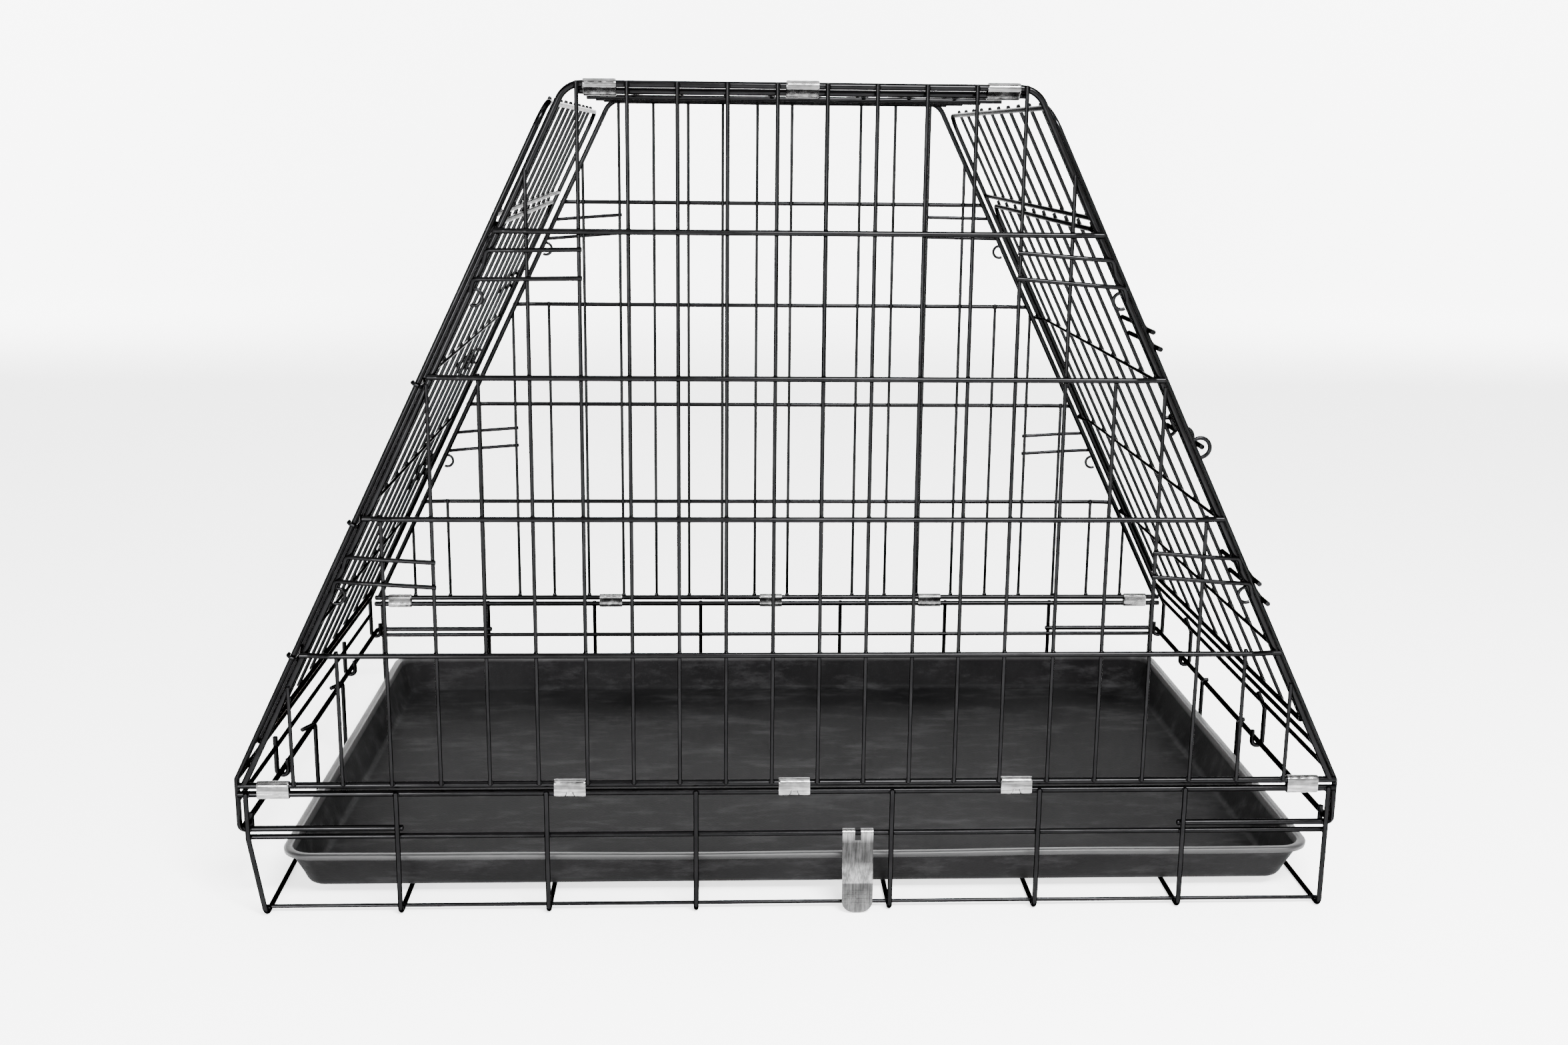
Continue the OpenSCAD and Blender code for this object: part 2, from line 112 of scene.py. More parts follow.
def coated_wire():
    """Black electro-coat: a thin, slightly wavy gloss that stays dark towards its outline."""
    m, nt, b = new_material("black_coated_wire")
    co = nt.nodes.new("ShaderNodeTexCoord").outputs["Object"]
    patches = noise(nt, 38.0, 4.0, 0.6, co)
    shades = [(0.3, (0.0050, 0.0050, 0.0052)), (0.7, (0.0085, 0.0085, 0.0088))]
    col = ramp(nt, patches.outputs["Fac"], shades)
    link(nt, col.outputs["Color"], b.inputs["Base Color"])
    gloss = noise(nt, 150.0, 3.0, 0.6, co)
    rough = ramp(nt, gloss.outputs["Fac"], [(0.25, grey(0.13)), (0.75, grey(0.22))])
    link(nt, rough.outputs["Color"], b.inputs["Roughness"])
    peel = noise(nt, 260.0, 2.0, 0.5, co)
    bump(nt, b, peel.outputs["Fac"], 0.06, 0.0003)
    b.inputs["Metallic"].default_value = 1.0
    b.inputs["Specular Tint"].default_value = (0.06, 0.06, 0.06, 1.0)
    return m


def height_bands(nt, coords, low, high, stops):
    """Greys that follow the height between low and high, in metres: painted reflections on the plated
    steel, and the tray lip's specular level.
    """
    split = nt.nodes.new("ShaderNodeSeparateXYZ")
    link(nt, coords, split.inputs["Vector"])
    fit = nt.nodes.new("ShaderNodeMapRange")
    fit.inputs["From Min"].default_value = low
    fit.inputs["From Max"].default_value = high
    link(nt, split.outputs["Z"], fit.inputs["Value"])
    return ramp(nt, fit.outputs["Result"], [(at, grey(v)) for at, v in stops])


def plated_steel(name, pale, dark, along, bands):
    """Bright plated sheet: rolling lines along one axis, smudges, and painted reflections and
    highlights as grey bands along its height.
    """
    m, nt, b = new_material(name)
    co = nt.nodes.new("ShaderNodeTexCoord").outputs["Object"]
    lines = noise(nt, 900.0, 4.0, 0.65, stretched(nt, co, along))
    smudge = noise(nt, 120.0, 3.0, 0.55, co)
    rolled = ramp(nt, lines.outputs["Fac"], [(0.36, grey(dark)), (0.64, grey(pale))])
    dull = ramp(nt, smudge.outputs["Fac"], [(0.38, grey(0.55)), (0.62, grey(1.0))])
    colour = multiply(nt, 0.75, rolled.outputs["Color"], dull.outputs["Color"])
    # painted reflections: greys by height darken and brighten the colour in bands, in place of the
    # sheet's reflections and highlights
    colour = multiply(nt, 1.0, colour, height_bands(nt, co, *bands).outputs["Color"])
    link(nt, colour, b.inputs["Base Color"])
    b.inputs["Metallic"].default_value = 1.0
    rough = ramp(nt, smudge.outputs["Fac"], [(0.3, grey(0.14)), (0.7, grey(0.30))])
    link(nt, rough.outputs["Color"], b.inputs["Roughness"])
    bump(nt, b, lines.outputs["Fac"], 0.22, 0.0003)
    return m


def tray_plastic():
    """Black moulded plastic: fine grain, soft mottling, faint scuffs, and a shinier lip."""
    m, nt, b = new_material("black_tray_plastic")
    co = nt.nodes.new("ShaderNodeTexCoord").outputs["Object"]
    mottle = noise(nt, 7.0, 5.0, 0.6, co)
    shades = [(0.32, (0.0022, 0.0022, 0.0023)), (0.68, (0.0065, 0.0065, 0.0067))]
    col = ramp(nt, mottle.outputs["Fac"], shades)
    scuff = noise(nt, 14.0, 6.0, 0.75, stretched(nt, co, (1.0, 3.0, 3.0)))
    worn = ramp(nt, scuff.outputs["Fac"], [(0.50, grey(0.0)), (0.76, grey(0.80))])
    mix = nt.nodes.new("ShaderNodeMixRGB")
    link(nt, worn.outputs["Color"], mix.inputs["Fac"])
    link(nt, col.outputs["Color"], mix.inputs["Color1"])
    mix.inputs["Color2"].default_value = (0.017, 0.017, 0.0175, 1.0)
    link(nt, mix.outputs["Color"], b.inputs["Base Color"])
    rough = ramp(nt, mottle.outputs["Fac"], [(0.3, grey(0.40)), (0.7, grey(0.52))])
    link(nt, rough.outputs["Color"], b.inputs["Roughness"])
    grain = nt.nodes.new("ShaderNodeTexVoronoi")
    grain.inputs["Scale"].default_value = 520.0
    link(nt, co, grain.inputs["Vector"])
    bump(nt, b, grain.outputs["Distance"], 0.18, 0.0004)
    shine = height_bands(nt, co, 0.0415, 0.0465, [(0.0, 0.008), (1.0, 0.34)])
    link(nt, shine.outputs["Color"], b.inputs["Specular IOR Level"])
    return m


WIRE = coated_wire()
# painted reflections and highlights on the sleeves and leaf, as greys by height: (place between the
# low and the high end, brightness)
SLEEVE_PAINTED_REFLECTIONS = [(0.0, 0.30), (0.10, 0.95), (0.46, 0.85), (0.55, 0.42), (0.84, 0.50), (1.0, 0.95)]
LEAF_PAINTED_REFLECTIONS = [
    (0.0, 0.42), (0.28, 0.22), (0.375, 0.20), (0.39, 1.0),
    (0.50, 0.62), (0.64, 0.17), (0.88, 0.15), (1.0, 0.75),
]
ALONG_X, ALONG_Z = (0.05, 1.0, 1.0), (1.0, 1.0, 0.05)
CLIP = plated_steel("plated_rim_sleeve", 0.34, 0.13, ALONG_X, (0.1035, 0.1190, SLEEVE_PAINTED_REFLECTIONS))
TOP_CLIP = plated_steel("plated_top_sleeve", 0.34, 0.13, ALONG_X, (0.6695, 0.6825, SLEEVE_PAINTED_REFLECTIONS))
LEAF = plated_steel("plated_leaf_steel", 0.30, 0.13, ALONG_Z, (0.001, 0.070, LEAF_PAINTED_REFLECTIONS))
TRAY = tray_plastic()


def dress(obj, material):
    obj.data.materials.clear()
    obj.data.materials.append(material)


for name, obj in NODES.items():
    if name.startswith("clip_"):
        dress(obj, CLIP)
    elif name == "tray":
        dress(obj, TRAY)
    elif name == "tray_clip":
        dress(obj, LEAF)
    else:
        dress(obj, WIRE)

# ------------------------------------------------------------------ driving sizes, in millimetres

HALF_DEPTH = 290.0      # long panels' pivot lines from the middle
RIM_Z = 115.0           # height of the long panels' bottom rims
RIM_HALF = 454.2        # half width of a long panel at its rim
PANEL_H = 563.5         # height of the long panels' top rims over their bottom rims
LEAN = 0.487            # how far the ends lean in for each millimetre up
ROW = 113.3             # cross wire spacing
UPRIGHT_PITCH = 38.1
SHORT_PITCH = 40.2      # uprights that end at a sloping edge or a cross wire
RIM_GAP = 7.4           # base rim to panel rim
BASE_RIM_Z = RIM_Z - RIM_GAP
CLIP_LENGTH = 26.0
TOP_CLIP_LENGTH = 25.0
CLIP_SHEET = 1.0
CLIP_PLAY = 0.35        # between a sleeve and its wires
UPRIGHT_R, CROSS_R, FRAME_R, RIM_R = 1.6, 2.2, 2.6, 2.7
UPRIGHT_W = 3.7         # axis of the uprights outside the frame's
CROSS_W = 7.0           # axis of the cross wires outside the frame's
ROWS = 5
FULL_UPRIGHTS = 10
SHORT_UPRIGHTS = 6      # on each side
EDGE_UPRIGHT = (FULL_UPRIGHTS - 1) / 2 * UPRIGHT_PITCH
TOP_EDGE_IN = 5.9       # the top panel's edge wires lie this far inside the long panels
TOP_DROP = 5.0          # and the front one this far below the rim
END_HALF = 279.0
END_UPRIGHTS = 10
END_PITCH = (2 * END_HALF + 2) / (END_UPRIGHTS + 1)
END_TOP = 550.0         # height of the end panels' top wires over the rim
DOOR_ROWS = (0.95, 1.93, 2.93)
ARCH_ROW = 4.1          # rows up to the wire over the door
END_GAP = {"right": 6.1, "left": 9.1}
END_LOW = {"right": 0.5, "left": -17.0}
END_WIRE_W = 3.3        # axis of the ends' uprights outside their frame's
POST_XS = (82.0, 206.0, 329.6, 452.0)
MID_Z = 70.0            # mid rails of the base
STUB_Z = 77.0           # short second rails at its corners
STUB_END_X = 326.0
BASE_RIM_END = 459.0
CORNER_PULL = 11.0      # the front left corner post's foot is bent in

# ------------------------------------------------------------------ mesh helpers


def mesh_piece(name, bm, material, body):
    """Turns bm, drawn in millimetres in the crate's frame, into a piece that rides on a body."""
    bm.normal_update()
    for f in bm.faces:
        f.smooth = True
    me = bpy.data.meshes.new(name)
    bm.to_mesh(me)
    bm.free()
    me.transform(Matrix.Scale(MM, 4))
    me.materials.append(material)
    ob = bpy.data.objects.new(name, me)
    bpy.context.scene.collection.objects.link(ob)
    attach(ob, body)
    return ob


def blob(bm, place, radii, at):
    """One ellipsoid of weld metal or coating, with radii along place's axes."""
    m = place @ Matrix.Translation(Vector(at)) @ Matrix.Diagonal(Vector((*radii, 1.0)))
    bmesh.ops.create_icosphere(bm, subdivisions=2, radius=1.0, matrix=m)


def loft(bm, rings, close_ends, closed_loop=False):
    """Joins closed rings of points, each as long as the others, into a skin."""
    rows = [[bm.verts.new(p) for p in ring] for ring in rings]
    n = len(rows[0])
    for a, b in zip(rows, rows[1:] + (rows[:1] if closed_loop else [])):
        for i in range(n):
            bm.faces.new([a[i], a[(i + 1) % n], b[(i + 1) % n], b[i]])
    if close_ends:
        bm.faces.new(list(reversed(rows[0])))
        bm.faces.new(rows[-1])


# frames in which X runs along a panel, Y up it and Z outwards
FRONT = Matrix.Translation((0, -HALF_DEPTH, RIM_Z)) @ Matrix.Rotation(math.radians(90), 4, "X")
HALF_TURN = Matrix.Rotation(math.radians(180), 4, "Z")
REAR = HALF_TURN @ FRONT


def slope_frame(side):
    """The same for a sloping end: X runs along it, Y up the slope and Z outwards."""
    flat = Matrix(((0, 0, 1, 0), (1, 0, 0, 0), (0, 1, 0, 0), (0, 0, 0, 1)))
    tilt = Matrix.Rotation(-math.atan(LEAN), 4, "Y")
    m = Matrix.Translation((RIM_HALF + END_GAP[side], 0, RIM_Z)) @ tilt @ flat
    return m if side == "right" else HALF_TURN @ m


def slope(z):
    """Length along the slope for a height z."""
    return z / math.cos(math.atan(LEAN))


def edge_x(y):
    """Half width of a long panel at height y over its rim."""
    return RIM_HALF - LEAN * y


# ------------------------------------------------------------------ welds and wire tips


# radii of the beads, in millimetres
UPRIGHT_BEAD = (2.5, 3.0, 1.5)
CROSSING_BEAD = (2.7, 3.0, 1.35)
EDGE_BEAD = (3.4, 2.9, 1.5)
POST_BEAD = (2.9, 1.4, 2.6)
UPRIGHT_TIP = (1.55, 0.8, 1.55)
CROSS_TIP = (1.0, 2.15, 2.15)
RIM_TIP = (1.2, 2.65, 2.65)
STUB_TIP = (1.1, 2.45, 2.45)


def short_top(n):
    """Height of the short upright n steps out: just over a cross wire, or at the sloping edge."""
    rows = {2: 3, 4: 2, 5: 1}
    if n in rows:
        return rows[n] * ROW + 3
    return (RIM_HALF - EDGE_UPRIGHT - n * SHORT_PITCH) / LEAN


def spread(count, pitch):
    """Places of count wires, evenly spaced about 0."""
    return [i * pitch - (count - 1) / 2 * pitch for i in range(count)]


def long_panel_welds(name, frame_m, body):
    """Weld metal where the uprights cross the rims and cross wires, and rounded cut ends."""
    bm = bmesh.new()
    uprights = [(x, PANEL_H) for x in spread(FULL_UPRIGHTS, UPRIGHT_PITCH)]
    for side in (-1, 1):
        for n in range(1, SHORT_UPRIGHTS + 1):
            uprights.append((side * (EDGE_UPRIGHT + n * SHORT_PITCH), short_top(n)))
    outer_w = (UPRIGHT_W + UPRIGHT_R + CROSS_W - CROSS_R) / 2
    inner_w = (UPRIGHT_W - UPRIGHT_R + FRAME_R) / 2
    for x, top in uprights:
        blob(bm, frame_m, UPRIGHT_BEAD, (x, 2.2, inner_w))
        if top == PANEL_H:
            blob(bm, frame_m, UPRIGHT_BEAD, (x, PANEL_H - 0.6, inner_w))
            blob(bm, frame_m, UPRIGHT_TIP, (x, PANEL_H + 1.5, UPRIGHT_W))
        for k in range(1, ROWS):
            if k * ROW < top:
                blob(bm, frame_m, CROSSING_BEAD, (x, k * ROW, outer_w))
    for k in range(1, ROWS):
        x = edge_x(k * ROW)
        for side in (-1, 1):
            blob(bm, frame_m, CROSS_TIP, (side * (x + 2.2), k * ROW, 4.3))
            blob(bm, frame_m, EDGE_BEAD, (side * x, k * ROW, 2.4))
    for side in (-1, 1):
        blob(bm, frame_m, RIM_TIP, (side * (RIM_HALF + 4), 0, 0))
    mesh_piece(name, bm, WIRE, body)


def end_panel_welds(side):
    """Beads along the wires over the door and at the top, and at their ends."""
    bm = bmesh.new()
    place = slope_frame(side)
    w = END_WIRE_W - UPRIGHT_R + 0.25
    for v in spread(END_UPRIGHTS, END_PITCH):
        for u in (slope(ARCH_ROW * ROW), slope(END_TOP)):
            blob(bm, place, (2.4, 2.7, 1.3), (v, u, w))
        blob(bm, place, UPRIGHT_TIP, (v, slope(END_TOP) + 3, END_WIRE_W))
    for s in (-1, 1):
        blob(bm, place, (3.0, 2.6, 2.5), (s * (END_HALF - 1), slope(ARCH_ROW * ROW), 0))
    mesh_piece("end_welds_" + side, bm, WIRE, "end_" + side)


def door_welds(side):
    """Beads where a door's uprights cross its frame and its cross wires, and rounded cut ends."""
    bm = bmesh.new()
    place = slope_frame(side)
    w = END_WIRE_W - UPRIGHT_R + 0.1
    low, top = slope(END_LOW[side] + 35), slope(ARCH_ROW * ROW) - 10.6
    levels = [low, top] + [slope(k * ROW) for k in DOOR_ROWS]
    for v in spread(END_UPRIGHTS, END_PITCH):
        for u in levels:
            blob(bm, place, (2.3, 2.3, 1.2), (v, u, w))
        for tip in (low - 4.6, top + 4.4):
            blob(bm, place, UPRIGHT_TIP, (v, tip, END_WIRE_W))
    mesh_piece("door_welds_" + side, bm, WIRE, "door_" + side)


def base_welds():
    """Beads where the posts cross the base's rails, and rounded ends of the rails."""
    bm = bmesh.new()
    here = Matrix.Identity(4)
    contact_y = HALF_DEPTH + 2.4
    for sy in (-1, 1):
        for sx in (-1, 1):
            for x in POST_XS:
                blob(bm, here, (3.0, 1.5, 2.6), (sx * x, sy * contact_y, BASE_RIM_Z - 0.6))
                blob(bm, here, POST_BEAD, (sx * x, sy * contact_y, MID_Z))
                pulled = (sx, sy) == (-1, -1) and x == POST_XS[3]
                foot = sx * x + (CORNER_PULL if pulled else 0.0)
                blob(bm, here, (2.3, 2.3, 1.2), (foot, sy * (HALF_DEPTH - 4), 4.6))
                tip_at = (sx * x, sy * (HALF_DEPTH + 4.2), BASE_RIM_Z + 1.5)
                blob(bm, here, (2.05, 2.05, 0.9), tip_at)
            for x in POST_XS[2:]:
                blob(bm, here, POST_BEAD, (sx * x, sy * contact_y, STUB_Z))
            blob(bm, here, RIM_TIP, (sx * BASE_RIM_END, sy * HALF_DEPTH, BASE_RIM_Z))
            blob(bm, here, STUB_TIP, (sx * STUB_END_X, sy * HALF_DEPTH, STUB_Z))
    mesh_piece("base_welds", bm, WIRE, "base")


def top_panel_welds():
    """Beads under the top panel's cross wires and at its front and rear edge wires."""
    bm = bmesh.new()
    here = Matrix.Identity(4)
    y0 = HALF_DEPTH - TOP_EDGE_IN
    top_z = RIM_Z + PANEL_H
    for x in spread(FULL_UPRIGHTS - 2, UPRIGHT_PITCH):
        for i in range(1, ROWS):
            z = top_z + TOP_DROP * (i / ROWS - 1)
            blob(bm, here, (2.5, 2.5, 1.3), (x, y0 * (2 * i / ROWS - 1), z - 1.3))
        for sy, z in ((-1, top_z - TOP_DROP), (1, top_z)):
            blob(bm, here, (2.6, 3.4, 2.2), (x, sy * (y0 - 1), z))
    mesh_piece("top_welds", bm, WIRE, "top")


# ------------------------------------------------------------------ sheet steel


def oblong(gap, arc_steps, side_steps):
    """Closed outline, 1 away from two wires gap apart, as (across, along) points."""
    out = []
    for end in (1, -1):
        for i in range(arc_steps):
            a = math.pi * i / arc_steps
            out.append((end * math.cos(a), end * (gap / 2 + math.sin(a))))
        for i in range(side_steps):
            out.append((-end, end * (gap / 2 - gap * i / side_steps)))
    return out


def stations(half, fine_half):
    """Places along a sleeve, closer together within fine_half of the middle."""
    coarse_steps, fine_steps = 9, 44
    coarse = [-half + (half - fine_half) * i / coarse_steps for i in range(coarse_steps)]
    fine = [-fine_half + 2 * fine_half * i / fine_steps for i in range(fine_steps + 1)]
    return coarse + fine + [-c for c in reversed(coarse)]


def seam_depth(x, z, tongue_top, tongue_low):
    """How deep the dovetailed seam is at a place on the sleeve's face."""
    neck, flare, groove_deep, groove_half, tongue_inset = 2.3, 1.7, 0.7, 0.5, 0.16
    far = 9.0
    t = (tongue_top - z) / (tongue_top - tongue_low)
    flank = neck + flare * min(max(t, 0.0), 1.0)
    near = abs(abs(x) - flank) if z <= tongue_top else far
    if abs(x) <= flank:
        near = min(near, abs(z - tongue_top))
    groove = groove_deep * max(0.0, 1.0 - (near / groove_half) ** 2)
    inset = tongue_inset if (z < tongue_top and abs(x) < flank) else 0.0
    return groove + inset


def sleeve(name, node, place, gap, r, length, body, seam):
    """A sheet sleeve bent round two wires: pinched a little between them, dented, rims rounded."""
    rim_length, rim_drop = 0.5, 0.22
    wide_gap, wide_pinch, small_pinch, dent_deep, skin = 6.0, 0.28, 0.12, 0.05, 0.06
    tongue_top = -gap / 2 + 1.6
    phase = 0.9 * len(name) + 0.37 * sum(map(ord, name[-3:]))
    outline = []
    for across, along in oblong(gap, 28, 12):
        wire = max(-gap / 2, min(gap / 2, along))
        outline.append((across, along, wire))
    rings = []
    for x in stations(length / 2, 5.5):
        rim = min(1.0, (length / 2 - abs(x)) / rim_length)
        ring = []
        for across, along, wire in outline:
            outer = r + CLIP_SHEET - rim_drop * (1.0 - rim) ** 2
            pinch = wide_pinch * math.cos(math.pi * wire / gap) if gap > wide_gap else small_pinch
            dent = dent_deep * math.sin(0.9 * x + phase) * math.sin(0.7 * along + 1.3 * phase)
            push = outer - pinch - dent - skin
            y = across * push
            z = wire + (along - wire) * push
            if seam and across < 0:
                reach = math.hypot(across, along - wire)
                deep = seam_depth(x, z, tongue_top, -gap / 2 - r)
                y += deep * -across / reach
                z -= deep * (along - wire) / reach
            ring.append(place @ Vector((x, y, z)))
        rings.append(ring)
    for x in (length / 2, 0.0, -length / 2):
        rings.append([place @ Vector((x, c * r, w + (a - w) * r)) for c, a, w in outline])
    bm = bmesh.new()
    loft(bm, rings, close_ends=False, closed_loop=True)
    bmesh.ops.recalc_face_normals(bm, faces=bm.faces)
    ob = mesh_piece(name, bm, CLIP if body == "base" else TOP_CLIP, body)
    ob.data.set_sharp_from_angle(angle=math.radians(50))
    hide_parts(node)


def rim_sleeves():
    """Ten sleeves round the rims: the outer pair on each side has no dovetail."""
    xs = (-430.0, -186.5, 0.0, 186.5, 430.0)
    for side, turn in (("front", Matrix.Identity(4)), ("rear", HALF_TURN)):
        for i, x in enumerate(xs):
            at = x if side == "front" else -x
            place = turn @ Matrix.Translation((at, -HALF_DEPTH, RIM_Z - RIM_GAP / 2))
            node = f"clip_{side}_{i + 1}"
            r, seam = RIM_R + CLIP_PLAY, i in (1, 2, 3)
            sleeve(f"sleeve_{side}_{i + 1}", node, place, RIM_GAP, r, CLIP_LENGTH, "base", seam)


def top_sleeves():
    """Six sleeves, each round a long panel's top rim and the top panel's edge wire."""
    for side, drop, turn in (("front", TOP_DROP, Matrix.Identity(4)), ("rear", 0.0, HALF_TURN)):
        for i, x in enumerate((-154.2, 0.0, 154.2)):
            at = x if side == "front" else -x
            centre = (at, -HALF_DEPTH + TOP_EDGE_IN / 2, RIM_Z + PANEL_H - drop / 2)
            tilt = Matrix.Rotation(math.atan2(TOP_EDGE_IN, drop), 4, "X")
            place = turn @ Matrix.Translation(centre) @ tilt
            name, node = f"sleeve_top_{side}_{i + 1}", f"clip_top_{side}_{i + 1}"
            gap, r = math.hypot(TOP_EDGE_IN, drop), FRAME_R + CLIP_PLAY
            sleeve(name, node, place, gap, r, TOP_CLIP_LENGTH, "top", False)


def leaf():
    """The sheet leaf: two curled tabs, a body that sweeps forward, a kink and a ribbed tongue."""
    bm = bmesh.new()
    x0, x1, tab, sheet = 41.0, 67.0, 10.5, 1.0
    mid, half = (x0 + x1) / 2, (x1 - x0) / 2
    curl_r = 2.2 + 0.3 + sheet / 2      # round the rail, with play
    y_rail = -(HALF_DEPTH + 0.3)
    # heights from the rail's axis
    tab_end, bend_z, kink_z, tip_z = -6.2, -16.0, -43.0, -69.2
    sweep, corner = 4.6, 10.5
    ribs, rib_top, rib_pitch, rib_half, rib_high = 4, -49.5, 3.7, 0.7, 0.28
    body_step, tongue_step, columns = 0.8, 0.35, 14

    def front_y(z):
        """The sheet's middle, from the rail's axis: straight, then sweeping out, with ribs below."""
        if z > bend_z:
            return -curl_r
        t = min(1.0, (bend_z - z) / (bend_z - kink_z))
        y = -curl_r - sweep * t * t
        for k in range(ribs):
            y -= rib_high * max(0.0, 1.0 - ((z - rib_top + rib_pitch * k) / rib_half) ** 2)
        return y

    def half_width(z):
        """Half the leaf's width, rounded off towards the tip."""
        if z > tip_z + corner:
            return half
        s = (tip_z + corner - z) / corner
        return half - corner + corner * math.sqrt(max(0.0, 1.0 - s * s))

    zs = [tab_end - i * body_step for i in range(46)]
    tongue_rows = int((kink_z - tip_z) / tongue_step)
    zs += [kink_z - 0.02 - i * tongue_step for i in range(tongue_rows)] + [tip_z]
    sheets = []
    for back in (0.0, sheet):
        rows = []
        for z in zs:
            w = max(half_width(z), 0.5)
            y = y_rail + front_y(z) - sheet / 2 + back
            xs = [mid + w * (2 * i / columns - 1) for i in range(columns + 1)]
            rows.append([bm.verts.new((x, y, MID_Z + z)) for x in xs])
        sheets.append(rows)
    for rows in sheets:
        for a, b in zip(rows, rows[1:]):
            for i in range(columns):
                bm.faces.new([a[i], a[i + 1], b[i + 1], b[i]])
    front, rear = sheets
    for i in range(columns):
        for k in (0, -1):
            bm.faces.new([front[k][i], front[k][i + 1], rear[k][i + 1], rear[k][i]])
    for k in range(len(zs) - 1):
        for i in (0, columns):
            bm.faces.new([front[k][i], front[k + 1][i], rear[k + 1][i], rear[k][i]])
    for left in (x0, x1 - tab):
        rings = []
        path = [(-curl_r, tab_end - 0.2), (-curl_r, -3.0)]
        for degrees in range(0, 236, 8):
            a = math.radians(degrees)
            path.append((-curl_r * math.cos(a), curl_r * math.sin(a)))
        for j, (y, z) in enumerate(path):
            py, pz = path[max(j - 1, 0)]
            qy, qz = path[min(j + 1, len(path) - 1)]
            d = Vector((qy - py, qz - pz)).normalized()
            ny, nz = -d.y * sheet / 2, d.x * sheet / 2
            outer = (y_rail + y + ny, MID_Z + z + nz)
            inner = (y_rail + y - ny, MID_Z + z - nz)
            rings.append([(left, *outer), (left + tab, *outer), (left + tab, *inner), (left, *inner)])
        loft(bm, rings, close_ends=True)
    bmesh.ops.recalc_face_normals(bm, faces=bm.faces)
    ob = mesh_piece("tray_leaf", bm, LEAF, "tray_stop")
    ob.data.set_sharp_from_angle(angle=math.radians(30))
    bevel = ob.modifiers.new("edge", "BEVEL")
    bevel.width = 0.00022
    bevel.segments = 2
    bevel.limit_method = "ANGLE"
    bevel.angle_limit = math.radians(40)
    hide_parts("tray_clip")


# ------------------------------------------------------------------ tray


def tray():
    """Thin moulded tray: drafted walls, filleted floor, and a lip that turns out and down."""
    low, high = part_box("tray")
    x_mid = (low.x + high.x) / 2 / MM
    lip_x, lip_y = (high.x - low.x) / 2 / MM, (high.y - low.y) / 2 / MM
    z0, depth = low.z / MM, (high.z - low.z) / MM
    ledge, sheet, fillet, inner_r = 5.0, 2.0, 4.5, 2.2
    end_draft, front_draft, rear_draft = 12.0, 24.0, 8.0
    edge_r, edge_steps, fillet_steps = 2.0, 5, 6
    corner_steps, side_steps = 12, 24
    sag, sag_x, sag_half, ripple, ripple_x = 1.6, -60.0, 330.0, 0.5, 71.0

    def ring(inset, z, corner):
        """Rounded outline at height z, inset from the wall's outer face; sides in short steps."""
        t = min(max(z / (depth - 4.0), 0.0), 1.0)
        hx = lip_x - ledge - end_draft * (1 - t) - inset
        front = lip_y - ledge - front_draft * (1 - t) - inset
        rear = lip_y - ledge - rear_draft * (1 - t) - inset
        pts = []
        corners = ((hx, rear, 0), (-hx, rear, 90), (-hx, -front, 180), (hx, -front, 270))
        for i, (cx, cy, start) in enumerate(corners):
            ox, oy = cx - math.copysign(corner, cx), cy - math.copysign(corner, cy)
            for k in range(corner_steps + 1):
                a = math.radians(start + 90.0 * k / corner_steps)
                pts.append((ox + corner * math.cos(a), oy + corner * math.sin(a)))
            nx, ny, _ = corners[(i + 1) % 4]
            bx, by = nx - math.copysign(corner, nx), ny - math.copysign(corner, ny)
            a = math.radians(start + 90.0)
            p = (ox + corner * math.cos(a), oy + corner * math.sin(a))
            q = (bx + corner * math.cos(a), by + corner * math.sin(a))
            for k in range(1, side_steps):
                f = k / side_steps
                pts.append((p[0] + (q[0] - p[0]) * f, p[1] + (q[1] - p[1]) * f))
        out = []
        for x, y in pts:
            away = min(1.0, abs(x - sag_x) / sag_half)
            droop = sag * t * (0.5 + 0.5 * math.cos(math.pi * away)) if y < 0 else 0.0
            droop += ripple * t * math.sin(x / ripple_x + (1.3 if y > 0 else 0.0)) ** 2
            out.append(Vector((x_mid + x, y, z0 + z - droop)))
        return out

    # each entry is inset, height, corner radius; heights under the lip are measured down from it
    foot = ((5.0, 0.0, 10.0), (1.6, 0.9, 13.0), (0.4, 2.6, 14.0), (0.0, 6.0, 14.5))
    under_lip = (
        (-0.6, 4.6, 22.5), (-1.6, 3.9, 23.5), (-2.9, 4.1, 24.5),
        (-3.5, 4.9, 25.0), (-4.4, 5.0, 26.0), (-5.0, 4.5, 26.5),
    )
    rings = [ring(*entry) for entry in foot]
    rings += [ring(0.0, z, 15.0 + 7.0 * z / depth) for z in (14.0, 22.0, 30.0, depth - 6.0)]
    rings += [ring(inset, depth - down, corner) for inset, down, corner in under_lip]
    rings.append(ring(-ledge, depth - edge_r, 26.5))
    for k in range(1, edge_steps + 1):
        a = math.radians(90.0 * k / edge_steps)
        inset = -ledge + edge_r * (1 - math.cos(a))
        rings.append(ring(inset, depth - edge_r * (1 - math.sin(a)), 26.0))
    rings.append(ring(-0.6, depth - 0.1, 23.0))
    for k in range(1, edge_steps + 1):
        a = math.radians(90.0 * k / edge_steps)
        inset = sheet - inner_r + inner_r * math.sin(a)
        rings.append(ring(inset, depth - 0.1 - inner_r * (1 - math.cos(a)), 21.5))
    rings += [ring(sheet, z, 14.0 + 7.0 * z / depth) for z in (32.0, 24.0, 16.0, 9.0)]
    for k in range(fillet_steps + 1):
        a = math.radians(90.0 * k / fillet_steps)
        inset = sheet + fillet * (1 - math.cos(a))
        rings.append(ring(inset, sheet + fillet * (1 - math.sin(a)), 14.0 - fillet * k / 12))
    bm = bmesh.new()
    loft(bm, rings, close_ends=True)
    bmesh.ops.recalc_face_normals(bm, faces=bm.faces)
    ob = mesh_piece("tray_shell", bm, TRAY, "tray")
    ob.data.set_sharp_from_angle(angle=math.radians(60))
    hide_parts("tray")


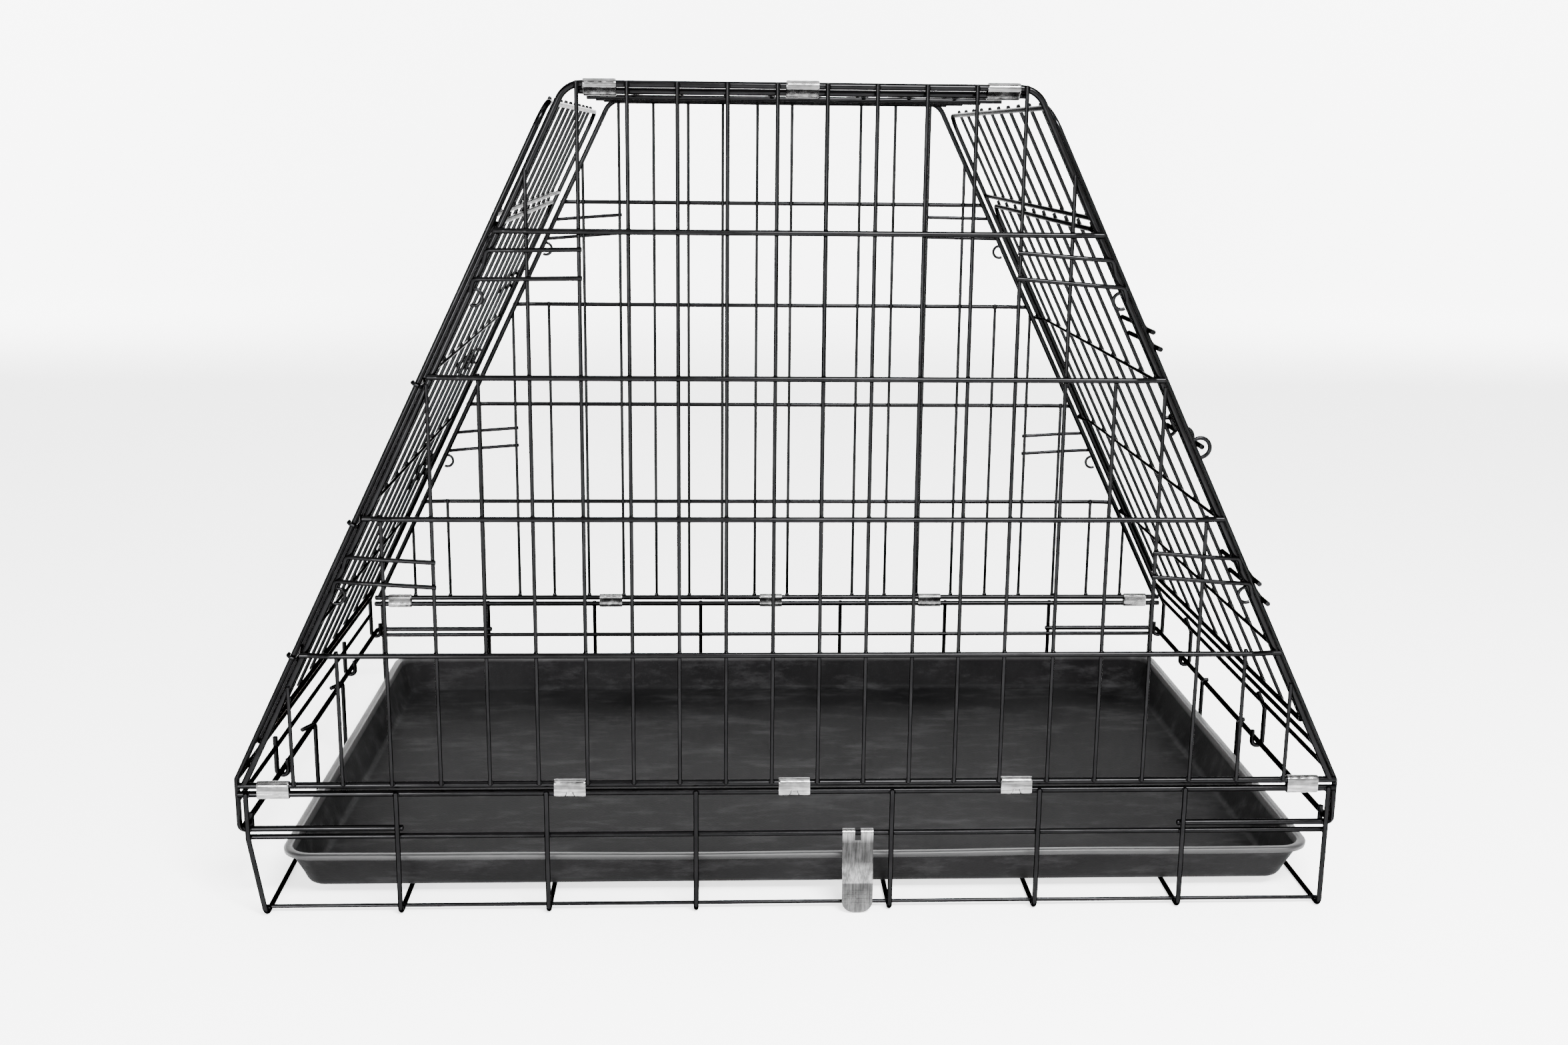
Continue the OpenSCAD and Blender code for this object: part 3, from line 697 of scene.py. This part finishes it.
long_panel_welds("front_welds", FRONT, "front")
long_panel_welds("rear_welds", REAR, "rear")
top_panel_welds()
base_welds()
for side in ("left", "right"):
    end_panel_welds(side)
    door_welds(side)
rim_sleeves()
top_sleeves()
leaf()
tray()

# ------------------------------------------------------------------ studio


def stage():
    """A pale round floor that curves up into a wall on every side, far from the crate."""
    floor_r, curve_r, wall_top, facets = 6.0, 2.0, 5.0, 96
    profile = [(floor_r * (i + 1) / 8, 0.0) for i in range(8)]
    for i in range(1, 13):
        t = math.radians(90.0 * i / 12)
        profile.append((floor_r + curve_r * math.sin(t), curve_r * (1 - math.cos(t))))
    profile.append((floor_r + curve_r, wall_top))
    bm = bmesh.new()
    rings = []
    for r, z in profile:
        angles = [2 * math.pi * k / facets for k in range(facets)]
        rings.append([(r * math.cos(a), r * math.sin(a), z) for a in angles])
    loft(bm, rings, close_ends=False)
    bm.verts.ensure_lookup_table()
    bm.faces.new(bm.verts[:facets])
    bmesh.ops.recalc_face_normals(bm, faces=bm.faces)
    for f in bm.faces:
        f.smooth = True
    me = bpy.data.meshes.new("studio_floor")
    bm.to_mesh(me)
    bm.free()
    ob = bpy.data.objects.new("studio_floor", me)
    bpy.context.scene.collection.objects.link(ob)
    m, _, b = new_material("studio_white")
    b.inputs["Base Color"].default_value = (0.92, 0.92, 0.92, 1.0)
    b.inputs["Roughness"].default_value = 0.9
    b.inputs["Specular IOR Level"].default_value = 0.1
    b.inputs["Emission Color"].default_value = (1.0, 1.0, 1.0, 1.0)
    b.inputs["Emission Strength"].default_value = 1.8
    me.materials.append(m)


def area_light(name, at, to, size, power):
    data = bpy.data.lights.new(name, "AREA")
    data.shape = "RECTANGLE"
    data.size, data.size_y = size
    data.energy = power
    ob = bpy.data.objects.new(name, data)
    ob.location = at
    ob.rotation_euler = (Vector(to) - Vector(at)).to_track_quat("-Z", "Y").to_euler()
    bpy.context.scene.collection.objects.link(ob)


def studio():
    """An overhead key, two lamps that draw highlights on the wires, and two on the far wall."""
    world = bpy.data.worlds.new("studio_world")
    bpy.context.scene.world = world
    world.use_nodes = True
    world.node_tree.nodes["Background"].inputs["Color"].default_value = (1.0, 1.0, 1.0, 1.0)
    world.node_tree.nodes["Background"].inputs["Strength"].default_value = 0.35
    area_light("key_overhead", (0.1, -0.2, 2.8), (0.0, 0.2, 0.0), (2.6, 1.6), 75.0)
    area_light("lamp_high", (0.60, -1.9, 2.0), (0.1, -0.1, 0.3), (1.1, 0.5), 330.0)
    area_light("lamp_level", (-0.95, -2.7, 0.55), (-0.1, 0.0, 0.45), (0.28, 0.95), 100.0)
    area_light("back_wash_left", (-2.6, 3.6, 2.4), (-2.6, 8.0, 1.0), (1.8, 1.4), 420.0)
    area_light("back_wash_right", (2.6, 3.6, 2.4), (2.6, 8.0, 1.0), (1.8, 1.4), 420.0)


def camera():
    """The photograph's angle: from the front, a little left of the middle and looking down."""
    data = bpy.data.cameras.new("photo_camera")
    data.sensor_width = 36.0
    data.lens = 38.60
    ob = bpy.data.objects.new("photo_camera", data)
    rx, ry, rz = -0.2253, -0.0104, -0.0439
    turn = Matrix.Rotation(rz, 3, "Z") @ Matrix.Rotation(rx, 3, "X") @ Matrix.Rotation(ry, 3, "Y")
    right, ahead, up = turn.col[0], turn.col[1], turn.col[2]
    m = Matrix((right, up, -ahead)).transposed().to_4x4()
    m.translation = Vector((-0.0688, -1.6085, 0.6403))
    ob.matrix_world = m
    bpy.context.scene.collection.objects.link(ob)
    bpy.context.scene.camera = ob


stage()
studio()
camera()
